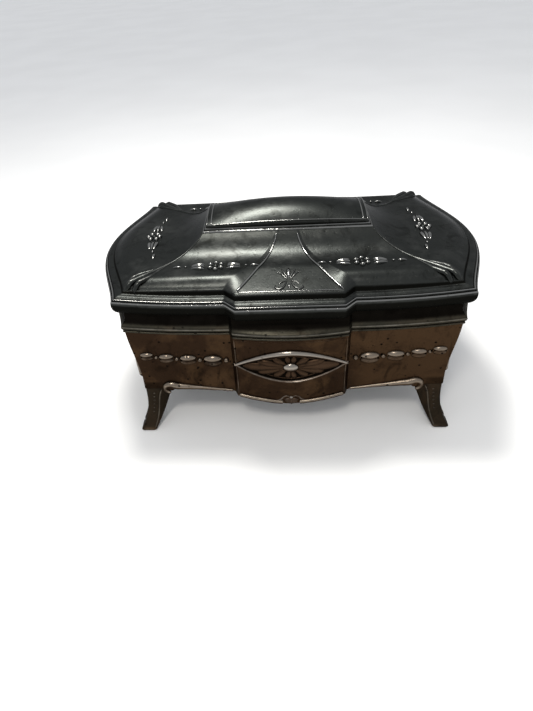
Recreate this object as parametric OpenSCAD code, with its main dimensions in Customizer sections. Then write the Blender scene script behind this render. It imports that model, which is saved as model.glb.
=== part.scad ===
// Footed jewel casket in cast white metal: bombe body on four cabriole legs, with a
// hipped lid on a concealed rear hinge and padded satin linings.
// X runs along the length, -Y is the front, Z = 0 is the table.

/* [Lid rim] */
// Length of the lid between its rim corners
rim_w = 184; // [150:1:220]
// Depth of the lid between its rim corners
rim_d = 119; // [105:1:140]
// How far each end bows out past the rim corners
end_bow = 15.6; // [8:0.2:22]
// Height of the lid's rim bead above the table
rim_h = 90; // [84:1:100]
// How far the rim sweeps up towards the corners
corner_rise = 3.6; // [0:0.2:4]

/* [Breakfront] */
// Width of the stepped-out middle of the lid, front and back
break_w = 55; // [44:1:62]
// Width that each slanted return takes up
break_slant = 5.8; // [4:0.2:8]
// How far the middle of the lid steps out
break_step = 6; // [4:0.5:7]
// How far the middle of the body steps out
body_step = 3.8; // [2.5:0.1:4.5]
// How far the middle of the body bows out beyond its step
body_bow = 3.2; // [0:0.2:3.4]

/* [Lid top] */
// Length of the raised plaque on top of the lid
plaque_w = 93.2; // [80:0.2:100]
// Depth of the raised plaque
plaque_d = 34.4; // [28:0.2:40]
// Height of the plaque's frame above the rim bead
plaque_rise = 19.8; // [16:0.2:24]
// Height of the plaque's crown above its frame
crown_rise = 11.2; // [7:0.2:13]
// Thickness of the lid casting
lid_wall = 2.2; // [1.8:0.1:2.6]

/* [Body] */
// Depth of the lid's edge below the rim bead, down to the parting line
rim_drop = 8; // [5:0.5:9]
// Height of the moulded ledge, below the rim bead
ledge_drop = 20; // [18:0.5:22]
// How far the wall tapers in from the ledge to the waist
wall_taper = 3.2; // [2.5:0.1:5]
// Thickness of the cast walls
wall = 2.2; // [1.8:0.1:2.6]
// Height of the arched lower edge beside the legs
arch_h = 28; // [26:0.5:30]
// Height of the lower edge at the middle of the front
apron_h = 21; // [18:0.5:24]

/* [Legs] */
// How far a foot flares past the waist corner towards the end
foot_end_flare = 5.3; // [3:0.1:9]
// How far a foot flares past the waist corner towards the front or back
foot_flare = 7.3; // [5:0.1:9]
// Width of each face of a leg
leg_w = 8.2; // [6.5:0.1:9.5]

/* [Hinge] */
// Hinge pin diameter
pin_d = 1.6; // [1.4:0.1:1.8]
// Outer diameter of the hinge knuckles
knuckle_d = 3.4; // [3.2:0.1:3.6]
// Length of each hinge
hinge_len = 13; // [11:0.5:15]
// Distance between the middles of the two hinges
hinge_gap = 32; // [28:0.5:34]

/* [Lining] */
// Thickness of the padded satin panels on the walls
lining_t = 2.6; // [2:0.1:3]
// Thickness of the floor cushion
cushion_t = 5; // [4:0.5:7]

/* [Hidden] */

// Clearance between pieces that are only glued or stand side by side
gap = 0.15;
part_h = rim_h - rim_drop;
ledge_h = rim_h - ledge_drop;
half_w = rim_w / 2;
half_d = rim_d / 2;
break_in = break_w / 2;
break_out = break_in + break_slant;
// Insets from the rim corners, measured level
ledge_in = 3;
neck_in = 4.4;
neck_wall = 3;
panel_in = 7;
plate_h = arch_h + 4;
plate_t = 1.4;
// Exponent of the corner sweep, and of the bow of the ends
sweep_power = 2.2;
bow_power = 1.3;

// Clearance behind the padded panels
lining_gap = 0.6;
// Thickness of a leg's flanges at the foot and at the top, and its blunt corner
leg_t = 3.2;
leg_top_t = 6.6;
leg_blunt = 1.2;
// How much wider a leg is at its top and at its foot, and the exponent of its flare
leg_spread = 3.2;
leg_toe = 0.8;
flare_power = 3.2;
// How far the slanted inner face of a leg reaches at the top
leg_bevel = 6.5;

// Sections of the mouldings, each row as [inset, height]
// Neck frame, over the top of the walls: bead, groove, ledge and cove up to the neck
neck_section = [[3, 0], [2.2, 0.8], [2.2, 1.8], [2.9, 2.3], [1.9, 3.2], [1.9, 4.6], [2.8, 6.2]];
neck_cove = [[4, 7.4], [4.4, 9]];
// Lid rim, over the rim bead: underside, bead, second bead, flat and cove up to the panels
rim_section = [[3.2, -rim_drop], [1.4, 0.9 - rim_drop], [0.3, -5], [0, -2.6], [0.2, 0.2], [0.9, 0.6],
    [1.2, 1.8], [2.6, 2.6], [5.2, 2.8], [6, 3.8]];
// Cushions: inset from their widest, and share of their thickness
pad_section = [[1, 0], [0, 0.3], [1, 0.7], [5, 0.92], [14, 1]];

// How far outside the lid's step the body's step begins and ends
body_out = 4.7;
body_in = 2.9;
// Plan shapes are lists: [break_out, break_in, step, bow]
lid_plan = [break_out, break_in, break_step, 0];
body_plan = [break_in + body_out, break_in + body_in, body_step, body_bow];
neck_plan = [break_in + body_out, break_in + body_in, body_step, 0];
inner_plan = [break_in + 2.5, break_in, body_step, 0];

// Levels
waist_h = 36;
waist_in = ledge_in + 0.2 + wall_taper;
wall_top = ledge_h - 1;
arch_x = half_w - 26;
lining_low = plate_h + plate_t + gap;
lining_top = part_h - 1.5;
board_h = rim_h - 1.4;
board_t = 1.2;
board_gap = 0.4;
lid_pad_t = 3.4;
// Height over the rim bead of the panels' edge and of their shoulder, the share of the corner sweep
// that the edge follows, and where along its way the sweep up to the plaque starts
edge_rise = 6.2;
shoulder_rise = 10.2;
edge_swept = 0.3;
sweep_start = 0.42;
// Half width of the flared middle panel where it meets the plaque
flare_top = 5.5;
// Pointed oval and shell on the front
cartouche_w = 65;
cartouche_d = 23.6;
cartouche_h = 49.5;
cartouche_t = 1.5;
shell_r = 5;
shell_t = 1.6;
// Hinge axis, under the lid's rear overhang
leaf_y = half_d - neck_in + body_step;
leaf_t = 0.9;
leaf_h = 3.3;
leaf_low = wall_top + 9 + gap;
axis_y = leaf_y + leaf_t + knuckle_d / 2 + 0.5;
axis_z = part_h - knuckle_d / 2 - 0.25;
mid_len = 5.4;
knuckle_play = 0.2;

// Stations along the front: across the left flank, the breakfront, and the right flank
flank_n = 4;
centre_n = 3;
end_n = 10;
front_n = 2 * flank_n + 2 * centre_n + 3;
wall_rows = 6;
leg_rows = 10;
lining_rows = 4;

function mix(a, b, t) = a + (b - a) * t;
function clamp01(t) = min(1, max(0, t));
function reverse(v) = [for (i = [len(v) - 1 : -1 : 0]) v[i]];

// X of the stations along the front for an inset and a plan
function front_x(inset, plan) = concat(
    [for (i = [0 : flank_n]) mix(-(half_w - inset), -plan[0], i / flank_n)],
    [for (i = [0 : 2 * centre_n]) mix(-plan[1], plan[1], i / (2 * centre_n))],
    [for (i = [0 : flank_n]) mix(plan[0], half_w - inset, i / flank_n)]);
function front_y(x, inset, plan) =
    -(half_d - inset + plan[2] * clamp01((plan[0] - abs(x)) / (plan[0] - plan[1]))
    + plan[3] * max(0, 1 - pow(x / plan[1], 2)));
// How far the levels have risen at a place along the front
function rise(x) = corner_rise * pow(clamp01((abs(x) - break_out) / (half_w - break_out)), sweep_power);
function end_x(y, inset) =
    half_w - inset + end_bow * pow(max(0, cos(90 * y / (half_d - inset))), bow_power);

// Front edge from left to right at one level, and the right end from front to back
function front_line(inset, z, plan) = [for (x = front_x(inset, plan))
    [x, front_y(x, inset, plan), z + rise(x)]];
function end_line(inset, z) = [for (i = [0 : end_n])
    let (y = mix(-(half_d - inset), half_d - inset, i / end_n))
    [end_x(y, inset), y, z + rise(half_w - inset)]];
function inner_points(v) = [for (i = [1 : len(v) - 2]) v[i]];
function turned(v) = [for (p = v) [-p[0], -p[1], p[2]]];
// Closed row of points from its front edge and its right end; the other half is the same, turned
function full_row(front, right_end) =
    let (e = inner_points(right_end)) concat(front, e, turned(front), turned(e));
// Whole outline at one level, swept up at the corners or flat
function outline(inset, z, plan) = full_row(front_line(inset, z, plan), end_line(inset, z));
function flat_outline(inset, z, plan) = [for (p = outline(inset, z, plan)) [p[0], p[1], z]];

// Two triangles for each step between two neighbouring rows of n points
function strip(a, b, n, closed = false) = [for (i = [0 : n - (closed ? 1 : 2)])
    let (j = (i + 1) % n) each [[a + i, b + j, a + j], [a + i, b + i, b + j]]];

// Closed plate between an outer grid of rows and an inner one
module plate_solid(outer, inner) {
    m = len(outer);
    n = len(outer[0]);
    k = m * n;
    top = (m - 1) * n;
    faces = concat(
        [for (j = [0 : m - 2]) each strip(j * n, (j + 1) * n, n)],
        [for (j = [0 : m - 2]) each strip(k + (j + 1) * n, k + j * n, n)],
        strip(k, 0, n), strip(top, k + top, n),
        [for (j = [0 : m - 2]) let (a = j * n, b = a + n) each [
            [a, k + a, k + b], [a, k + b, b],
            [a + n - 1, b + n - 1, k + b + n - 1], [a + n - 1, k + b + n - 1, k + a + n - 1]]]);
    polyhedron(concat([for (r = outer) each r], [for (r = inner) each r]), faces);
}

// Closed ring: each row goes round the casket, and the rows go round the section
module ring_solid(rows) {
    n = len(rows[0]);
    m = len(rows);
    polyhedron([for (r = rows) each r],
        [for (j = [0 : m - 1]) each strip(j * n, ((j + 1) % m) * n, n, true)]);
}

// Flat lid over a row of n points, as a fan from its first point
function fan_cap(n) = [for (i = [1 : n - 2]) [0, i, i + 1]];
// The same over a whole outline, which is hollow in places: strips across it, and a fan at each end
outline_cap = let (f = front_n, half = front_n + end_n - 1, back = half + f - 1) concat(
    [for (i = [1 : f - 3]) each [[i, i + 1, back - i - 1], [i, back - i - 1, back - i]]],
    [for (k = [0, half]) each [for (i = [0 : end_n])
        [k + f - 2, (k + f - 1 + i) % (2 * half), (k + f + i) % (2 * half)]]]);
// Solid through a stack of closed rows from the bottom up, capped at both ends
module stack_solid(rows, cap) {
    n = len(rows[0]);
    m = len(rows);
    polyhedron([for (r = rows) each r], concat(
        [for (j = [0 : m - 2]) each strip(j * n, (j + 1) * n, n, true)],
        cap, [for (t = cap) [for (i = reverse(t)) (m - 1) * n + i]]));
}

// Inset of a wall's outer face at a height: full under the ledge, drawn in at the waist
function wall_inset(z) = let (t = clamp01((ledge_h - z) / (ledge_h - waist_h)))
    ledge_in + 0.2 + wall_taper * mix(t, (1 - cos(180 * t)) / 2, 0.6);

// Height of the walls' lower edge along the front and along an end
function apron_z(x) = let (a = abs(x), b = body_plan[1])
    a < b ? mix(apron_h, apron_h + 4, pow(a / b, 1.5))
    : arch_h - 3.5 * pow(clamp01((arch_x - a) / (arch_x - b)), 1.4);
function end_apron_z(y) = mix(arch_h - 4, arch_h, pow(clamp01(abs(y) / (half_d - 20)), 1.5));

// One face of the front wall or of an end wall; depth sets it back from the outside
function front_face(depth) = [for (j = [0 : wall_rows])
    [for (i = [0 : front_n - 1])
        let (low = apron_z(front_x(waist_in, body_plan)[i]), t = j / wall_rows,
            z = mix(low, wall_top - gap, t), inset = wall_inset(z) + depth,
            x = front_x(inset, body_plan)[i])
        [x, front_y(x, inset, body_plan), z + t * rise(x)]]];
function end_face(depth) = [for (j = [0 : wall_rows])
    [for (i = [0 : end_n])
        let (s = mix(-1, 1, i / end_n), t = j / wall_rows,
            z = mix(end_apron_z(s * (half_d - waist_in)), wall_top - gap, t),
            inset = wall_inset(z) + depth,
            y = s * (half_d - inset))
        [end_x(y, inset), y, z + t * rise(half_w - inset)]]];

module front_wall() {
    color([0.24, 0.17, 0.12]) plate_solid(front_face(0), front_face(wall));
}
module right_end_wall() {
    color([0.24, 0.17, 0.12]) plate_solid(end_face(0), end_face(wall));
}
module back_wall() {
    rotate([0, 0, 180]) front_wall();
}
module left_end_wall() {
    rotate([0, 0, 180]) right_end_wall();
}

// Cast frame round the top of the walls: bead, ledge, cove and the neck that the lid sits on
module neck_frame() {
    rows = concat(
        [for (r = neck_section) outline(r[0], wall_top + r[1], body_plan)],
        [for (r = neck_cove) outline(r[0], wall_top + r[1], neck_plan)],
        [outline(neck_in, part_h - gap, neck_plan),
            outline(neck_in + neck_wall, part_h - gap, inner_plan),
            outline(neck_in + neck_wall, wall_top, inner_plan)]);
    color([0.16, 0.14, 0.12]) ring_solid(rows);
}

// Sheet floor, standing on the four leg blocks
module bottom_plate() {
    inset = wall_inset(plate_h) + wall + gap;
    color([0.3, 0.29, 0.27]) stack_solid([flat_outline(inset, plate_h, inner_plan),
        flat_outline(inset, plate_h + plate_t, inner_plan)], outline_cap);
}

// Section of a leg at its corner: an angle with a blunt outer edge
function leg_section(inset, w, z, t, bevel = 0) =
    let (x = half_w - inset[0], y = half_d - inset[1], c = leg_blunt)
    [[x - c, -y, z], [x, -y + c, z], [x, -y + w, z], [x - t, -y + w + bevel, z],
        [x - t - c, -y + t + c, z], [x - w - bevel, -y + t, z], [x - w, -y, z]];
// How far the leg has flared, and its width, at a share of its height above the table
function leg_inset(t) =
    let (f = pow(1 - t, flare_power))
    [waist_in - foot_end_flare * f, waist_in - foot_flare * f];
function leg_width(t) = leg_w + leg_spread * pow(t, 5) + leg_toe * pow(1 - t, 3);
module front_right_leg() {
    block_in = waist_in + wall + gap;
    color([0.15, 0.13, 0.11]) stack_solid(concat(
        [for (i = [0 : leg_rows]) let (t = i / leg_rows)
            leg_section(leg_inset(t), leg_width(t), t * (arch_h - gap), mix(leg_t, leg_top_t, t * t),
                leg_bevel * pow(t, 1.1))],
        [for (z = [arch_h, plate_h]) leg_section([block_in, block_in], leg_w, z - gap, leg_t)]),
        fan_cap(len(leg_section([0, 0], leg_w, 0, leg_t))));
}
module front_left_leg() {
    mirror([1, 0, 0]) front_right_leg();
}
module back_right_leg() {
    mirror([0, 1, 0]) front_right_leg();
}
module back_left_leg() {
    rotate([0, 0, 180]) front_right_leg();
}

// Pointed oval on the breakfront, following its bow
function cartouche_face(proud) = [for (j = [0 : 4])
    [for (i = [0 : 12])
        let (s = mix(-1, 1, i / 12), x = s * cartouche_w / 2,
            h = max(0.5, cartouche_d / 2 * (1 - pow(abs(s), 1.8))), z = cartouche_h + h * mix(-1, 1, j / 4))
        [x, front_y(0, wall_inset(z), body_plan) + body_bow * pow(x / body_plan[1], 2) - proud, z]]];
module front_cartouche() {
    color([0.3, 0.25, 0.21]) plate_solid(cartouche_face(cartouche_t), cartouche_face(0.02));
}
module back_cartouche() {
    rotate([0, 0, 180]) front_cartouche();
}

// Small fan of lobes at the middle of the lower edge
module front_apron_shell() {
    lobes = 7;
    fan = [for (i = [0 : 42]) let (a = mix(-8, 188, i / 42))
        (shell_r + 0.6 * abs(cos(90 * lobes * i / 42))) * [cos(a), sin(a)]];
    color([0.3, 0.25, 0.21]) translate([0, front_y(0, waist_in, body_plan) - 0.02, apron_h + 1])
        rotate([90, 0, 0]) linear_extrude(shell_t) polygon(fan);
}
module back_apron_shell() {
    rotate([0, 0, 180]) front_apron_shell();
}

// Hinges: a fixed leaf with two outer knuckles, a pin, and a lid leaf with the middle knuckle
module barrel(length, bore_r) {
    rotate([0, 90, 0]) difference() {
        cylinder(d = knuckle_d, h = length, center = true, $fn = 48);
        cylinder(r = bore_r, h = length + 1, center = true, $fn = 48);
    }
}
module base_leaf(side) {
    end_len = (hinge_len - mid_len) / 2 - knuckle_play;
    reach = axis_y - leaf_y;
    color([0.33, 0.3, 0.25]) translate([side * hinge_gap / 2, 0, 0]) {
        translate([-hinge_len / 2, leaf_y, leaf_low]) cube([hinge_len, leaf_t, leaf_h]);
        for (s = [-1, 1]) translate([s * (hinge_len - end_len) / 2, axis_y, axis_z]) {
            barrel(end_len, pin_d / 2 + 0.02);
            translate([-end_len / 2, -reach, -knuckle_d / 2])
                cube([end_len, reach - pin_d / 2 - 0.2, knuckle_d / 2]);
        }
    }
}
module lid_leaf(side) {
    color([0.33, 0.3, 0.25]) translate([side * hinge_gap / 2, axis_y, axis_z]) {
        barrel(mid_len, pin_d / 2 + 0.05);
        translate([-mid_len / 2, -knuckle_d / 2, pin_d / 2 + 0.25])
            cube([mid_len, knuckle_d / 2 + 0.1, part_h - axis_z - pin_d / 2 - 0.25]);
    }
}
module hinge_pin(side) {
    color([0.5, 0.48, 0.44]) translate([side * hinge_gap / 2, axis_y, axis_z]) rotate([0, 90, 0]) {
        cylinder(d = pin_d, h = hinge_len + 0.6, center = true, $fn = 48);
        for (s = [-1, 1]) translate([0, 0, s * (hinge_len / 2 + 0.5)])
            cylinder(d = pin_d + 0.8, h = 0.6, center = true, $fn = 48);
    }
}
module left_hinge_base_leaf() {
    base_leaf(-1);
}
module right_hinge_base_leaf() {
    base_leaf(1);
}
module left_hinge_pin() {
    hinge_pin(-1);
}
module right_hinge_pin() {
    hinge_pin(1);
}
module left_hinge_lid_leaf() {
    lid_leaf(-1);
}
module right_hinge_lid_leaf() {
    lid_leaf(1);
}

// Padded panels against the walls, from the sheet floor to just under the neck's top
function lining_inset(z) = max(neck_in + neck_wall, wall_inset(z) + wall) + lining_gap;
function lining_front_face(depth) = [for (j = [0 : lining_rows])
    let (t = j / lining_rows, z = mix(lining_low, lining_top, t), inset = lining_inset(z) + depth)
    [for (x = front_x(inset, inner_plan)) [x, front_y(x, inset, inner_plan), z + t * rise(x)]]];
function lining_end_face(depth) = [for (j = [0 : lining_rows])
    let (t = j / lining_rows, z = mix(lining_low, lining_top, t), inset = lining_inset(z) + depth)
    [for (p = end_line(inset, z)) [p[0], p[1], z + t * rise(half_w - inset)]]];
module lining_front() {
    color([0.45, 0.12, 0.14]) plate_solid(lining_front_face(0), lining_front_face(lining_t));
}
module lining_back() {
    rotate([0, 0, 180]) lining_front();
}
module lining_right() {
    color([0.45, 0.12, 0.14]) plate_solid(lining_end_face(0), lining_end_face(lining_t));
}
module lining_left() {
    rotate([0, 0, 180]) lining_right();
}
// Pad of a thickness whose widest row is at an inset; side is 1 for a floor pad, -1 for one that hangs
module pad_solid(inset, z, t, side) {
    rows = [for (r = pad_section) flat_outline(inset + r[0], z + side * t * r[1], inner_plan)];
    color([0.45, 0.12, 0.14]) stack_solid(side > 0 ? rows : reverse(rows), outline_cap);
}
module floor_cushion() {
    pad_solid(lining_inset(lining_low) + lining_t + gap, lining_low, cushion_t, 1);
}

// Lid casting. Height over the rim bead at share u of the way from the rim up to the plaque:
// a rounded shoulder, a long flat stretch, and a steep sweep up to the plaque
function panel_z(u, lift) = let (edge = edge_rise + edge_swept * lift) rim_h
    + mix(edge, shoulder_rise, 1 - pow(1 - clamp01(u / 0.2), 2)) + 0.3 * u
    + (plaque_rise - shoulder_rise - 0.3) * pow(clamp01((u - sweep_start) / (1 - sweep_start)), 2.6);
// Row of the lid's panels; depth sets it inside the casting
function panel_row(u, depth) =
    let (inset = panel_in + depth, px = plaque_w / 2 - depth, py = plaque_d / 2 - depth,
        low = front_x(inset, lid_plan),
        high = concat([for (i = [0 : flank_n]) mix(-px, -flare_top - 1.5, i / flank_n)],
            [for (i = [0 : 2 * centre_n]) mix(-flare_top, flare_top, i / (2 * centre_n))],
            [for (i = [0 : flank_n]) mix(flare_top + 1.5, px, i / flank_n)]),
        front = [for (i = [0 : len(low) - 1])
            let (power = mix(1, 1.3, clamp01(min(i, len(low) - 1 - i) / flank_n)),
                x = mix(low[i], high[i], 1 - pow(1 - u, power)))
            [x, mix(front_y(low[i], inset, lid_plan), -py, u), panel_z(u, rise(low[i])) - depth]],
        ends = [for (i = [0 : end_n]) let (s = mix(-1, 1, i / end_n), y = s * (half_d - inset))
            [mix(end_x(y, inset), px, u), mix(y, s * py, u), panel_z(u, rise(half_w - inset)) - depth]])
    full_row(front, ends);
// Crown of the plaque: low along its edges, arched a little lengthwise, and full in the middle
edge_share = 0.29;
arch_share = 0.1;
end_loss = 0.43;
dome_in = 1.7;
function dome_z(x, y) = let (a = pow(2 * x / plaque_w, 2), b = pow(2 * y / (plaque_d - 2 * dome_in), 2))
    rim_h + plaque_rise + crown_rise * (edge_share + arch_share * (1 - a)
        + (1 - edge_share - arch_share - end_loss * a) * max(0, 1 - b));
// Row round the plaque, set in by a margin and scaled towards its middle
function plaque_row(margin, s) = [for (p = panel_row(1, 0))
    s * [p[0] * (1 - 2 * margin / plaque_w), p[1] * (1 - 2 * margin / plaque_d)]];
function frame_row() = [for (p = plaque_row(0.9, 1)) [p[0], p[1], rim_h + plaque_rise + 2]];
function dome_row(s, depth) = [for (p = plaque_row(dome_in, s))
    [p[0], p[1], (s < 0.1 ? dome_z(0, 0) : dome_z(p[0], p[1])) - depth]];
module lid_shell() {
    seat = outline(neck_in + neck_wall, part_h, inner_plan);
    inside = concat([for (s = [0.05, 0.6, 0.9]) dome_row(s, lid_wall)],
        [for (u = [1, 0.92, 0.8, 0.55, 0.2, 0]) panel_row(u, lid_wall)],
        [[for (p = seat) [p[0], p[1], p[2] + rim_drop + board_t]], seat]);
    rim = [for (r = rim_section) outline(r[0], rim_h + r[1], lid_plan)];
    outside = concat([for (u = [0, 0.08, 0.2, 0.55, 0.75, 0.86, 0.94, 1]) panel_row(u, 0)],
        [frame_row()], [for (s = [1, 0.85, 0.6, 0.3, 0.05]) dome_row(s, 0)]);
    color([0.2, 0.2, 0.2]) stack_solid(concat(inside, rim, outside), outline_cap);
}

// Card and padded satin inside the lid
module lid_lining_board() {
    color([0.6, 0.56, 0.48]) stack_solid([for (z = [board_h, board_h + board_t])
        flat_outline(neck_in + neck_wall + board_gap, z, inner_plan)], outline_cap);
}
module lid_cushion() {
    pad_solid(neck_in + neck_wall + board_gap + lining_gap, board_h - gap, lid_pad_t, -1);
}

front_wall();
back_wall();
left_end_wall();
right_end_wall();
neck_frame();
bottom_plate();
front_left_leg();
front_right_leg();
back_left_leg();
back_right_leg();
front_cartouche();
back_cartouche();
front_apron_shell();
back_apron_shell();
left_hinge_base_leaf();
right_hinge_base_leaf();
left_hinge_pin();
right_hinge_pin();
lining_front();
lining_back();
lining_left();
lining_right();
floor_cushion();
lid_shell();
left_hinge_lid_leaf();
right_hinge_lid_leaf();
lid_lining_board();
lid_cushion();
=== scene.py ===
"""Footed trinket box in cast white metal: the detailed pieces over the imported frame."""

import math
from collections import namedtuple

import bpy
import numpy as np
from mathutils import Matrix, Vector


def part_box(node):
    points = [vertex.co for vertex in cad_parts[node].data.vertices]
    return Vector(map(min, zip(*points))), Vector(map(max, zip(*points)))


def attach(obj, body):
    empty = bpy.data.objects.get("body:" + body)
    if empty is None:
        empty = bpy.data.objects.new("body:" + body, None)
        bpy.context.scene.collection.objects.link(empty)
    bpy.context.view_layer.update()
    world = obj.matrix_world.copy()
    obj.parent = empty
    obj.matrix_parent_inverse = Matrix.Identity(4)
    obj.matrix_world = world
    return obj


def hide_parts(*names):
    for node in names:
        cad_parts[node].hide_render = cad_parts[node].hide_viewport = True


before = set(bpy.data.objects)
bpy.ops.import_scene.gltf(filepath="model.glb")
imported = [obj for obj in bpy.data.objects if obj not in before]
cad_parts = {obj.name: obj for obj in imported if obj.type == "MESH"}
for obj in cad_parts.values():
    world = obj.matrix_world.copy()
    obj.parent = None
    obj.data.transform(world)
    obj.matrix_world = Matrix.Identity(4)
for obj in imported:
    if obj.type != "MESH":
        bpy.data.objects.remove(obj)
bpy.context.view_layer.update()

MM = 0.001

# ---------------------------------------------------------------- driving sizes
# Taken from the frame, with the few that a box can't give named here.
END_BOW = 15.6 * MM  # how far the ends bow out past the rim corners
BREAK_STEP = 6 * MM  # how far the lid's breakfront steps out
BODY_STEP = 3.8 * MM  # the same on the body
BODY_BOW = 3.2 * MM  # how far the body's breakfront bows out besides
CORNER_RISE = 3.6 * MM  # how far the mouldings sweep up at the rim corners

lid_low, lid_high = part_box("lid_shell")
HALF_W = lid_high[0] - END_BOW
HALF_D = lid_high[1] - BREAK_STEP
PART_Z = lid_low[2]  # the parting line between the lid and the neck
RIM_Z = PART_Z + 8 * MM  # the lid's rim bead
LEDGE_Z = PART_Z - 12 * MM  # the body's moulded ledge
WALL_TOP = LEDGE_Z - 1 * MM
WAIST_Z = 36 * MM  # where the walls are drawn in furthest
WAIST_IN = 6.4 * MM
LEDGE_IN = 3 * MM
WALL_IN = LEDGE_IN + 0.2 * MM  # inset of the walls right under the ledge
GAP = 0.15 * MM  # clearance between castings that meet
NECK_IN = 4.4 * MM
NECK_WALL = 3 * MM
PANEL_IN = 7 * MM  # inset of the lid's panels at their lower edge
BODY_WALL = 2.2 * MM
FOOT_FLARE = 7.3 * MM  # how far the feet turn out to the front and back
FOOT_END_FLARE = 5.3 * MM  # and to the ends
FLARE_POWER = 3.2
LEG_W = 8.2 * MM  # width of a leg's faces where they are narrowest
LEG_SPREAD = 3.2 * MM  # how much wider they are at the top
LEG_TOE = 0.8 * MM  # and at the foot
LEG_THICK = 3.2 * MM  # thickness of a leg at the foot
LEG_THICKENING = 3.4 * MM  # how much more it has at the top
LEG_SLANT = 6.5 * MM  # reach of its slanted inner edges at the top
LEG_TOP = 28 * MM
APRON_Z = 21 * MM  # the lowest point of the walls
APRON_RISE = 4 * MM  # how far the apron climbs from there to the edge of the breakfront
ARCH_RISE = 3.5 * MM  # how far the front's arches climb towards the legs
END_ARCH_RISE = 4 * MM

# The raised plaque on the lid
PLAQUE_X = 46.6 * MM
PLAQUE_Y = 17.2 * MM
PLAQUE_Z = RIM_Z + 19.8 * MM
CROWN = lid_high[2] - PLAQUE_Z  # how far the plaque's face crowns
FLARE = 5.5 * MM  # half width of the flared middle panel at the plaque

# The pointed oval and the shell on the front
OVAL_X = 32.5 * MM
OVAL_Y = 11.8 * MM
OVAL_Z = 49.5 * MM
BEAD_ROW_Z = 49.6 * MM  # the chains of beads beside it
BEAD_PITCH = 7.6 * MM

# A front edge in plan: half widths of the breakfront at its back and front, its step and its bow
Plan = namedtuple("Plan", "outer inner step bow")
LID_PLAN = Plan(33.3 * MM, 27.5 * MM, BREAK_STEP, 0)
BODY_PLAN = Plan(32.2 * MM, 30.4 * MM, BODY_STEP, BODY_BOW)
NECK_PLAN = Plan(32.2 * MM, 30.4 * MM, BODY_STEP, 0)
INNER_PLAN = Plan(30 * MM, 27.5 * MM, BODY_STEP, 0)

# Stations along the front run through five stretches: flank, return, middle, return, flank.
# They crowd together at each plan corner, where the castings turn.
STRETCH_N = (26, 8, 24, 8, 26)
END_N = 52


def crowded(n):
    """n shares from 0 up to, but not including, 1, crowded at both ends."""
    return (1 - np.cos(np.pi * np.arange(n) / n)) / 2


FRONT_Q = np.append(np.concatenate([k + crowded(n) for k, n in enumerate(STRETCH_N)]), 5.0)
END_S = np.append(crowded(END_N), 1.0) * 2 - 1
KNOTS = np.arange(6.0)
TURN = np.array([-1.0, -1.0, 1.0])  # half a turn round the middle


# ---------------------------------------------------------------- plan curves
def stations_x(ends, outer, inner, q=FRONT_Q):
    """X of stations q along the front, given the half widths at its knots."""
    return np.interp(q, KNOTS, [-ends, -outer, -inner, inner, outer, ends])


def front_x(inset, plan, q=FRONT_Q):
    return stations_x(HALF_W - inset, plan.outer, plan.inner, q)


def front_y(x, inset, plan):
    """Y of the front edge at x: straight flanks, a stepped middle, and its bow."""
    step = np.clip((plan.outer - np.abs(x)) / (plan.outer - plan.inner), 0, 1)
    bow = np.maximum(0, 1 - (x / plan.inner) ** 2)
    return -(HALF_D - inset + plan.step * step + plan.bow * bow)


def end_x(y, inset):
    """X of the bowed end at y."""
    swing = np.cos(np.pi / 2 * np.clip(y / (HALF_D - inset), -1, 1))
    return HALF_W - inset + END_BOW * np.maximum(0, swing) ** 1.3


def rise(x):
    """How far the mouldings have swept up at a place along the front."""
    start = LID_PLAN.outer
    return CORNER_RISE * np.clip((np.abs(x) - start) / (HALF_W - start), 0, 1) ** 2.2


def front_row(inset, z, plan):
    x = front_x(inset, plan)
    return np.column_stack([x, front_y(x, inset, plan), z + rise(x)])


def end_row(inset, z):
    y = END_S * (HALF_D - inset)
    return np.column_stack([end_x(y, inset), y, np.full_like(y, z + rise(HALF_W - inset))])


def full_row(front, end):
    """Closed row from its front edge and right end: the other half is the same, turned."""
    half = np.vstack([front, end[1:-1]])
    return np.vstack([half, half * TURN])


def softened(row, passes=2):
    """The row with its plan corners rounded a little, as a casting's are."""
    for _ in range(passes):
        row = row / 2 + (np.roll(row, 1, axis=0) + np.roll(row, -1, axis=0)) / 4
    return row


def outline(inset, z, plan, swept=1.0):
    """Whole row at one level; swept is the share of the corner sweep that it follows."""
    row = full_row(front_row(inset, 0, plan), end_row(inset, 0))
    row[:, 2] = z + row[:, 2] * swept
    return softened(row)


def flat_outline(inset, z, plan):
    row = outline(inset, 0, plan)
    row[:, 2] = z
    return row


# ---------------------------------------------------------------- mesh building
def new_mesh(name, verts, faces):
    mesh = bpy.data.meshes.new(name)
    mesh.from_pydata(verts, [], faces)
    return mesh


def placed(name, data):
    """A new object in the scene."""
    obj = bpy.data.objects.new(name, data)
    bpy.context.scene.collection.objects.link(obj)
    return obj


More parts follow.
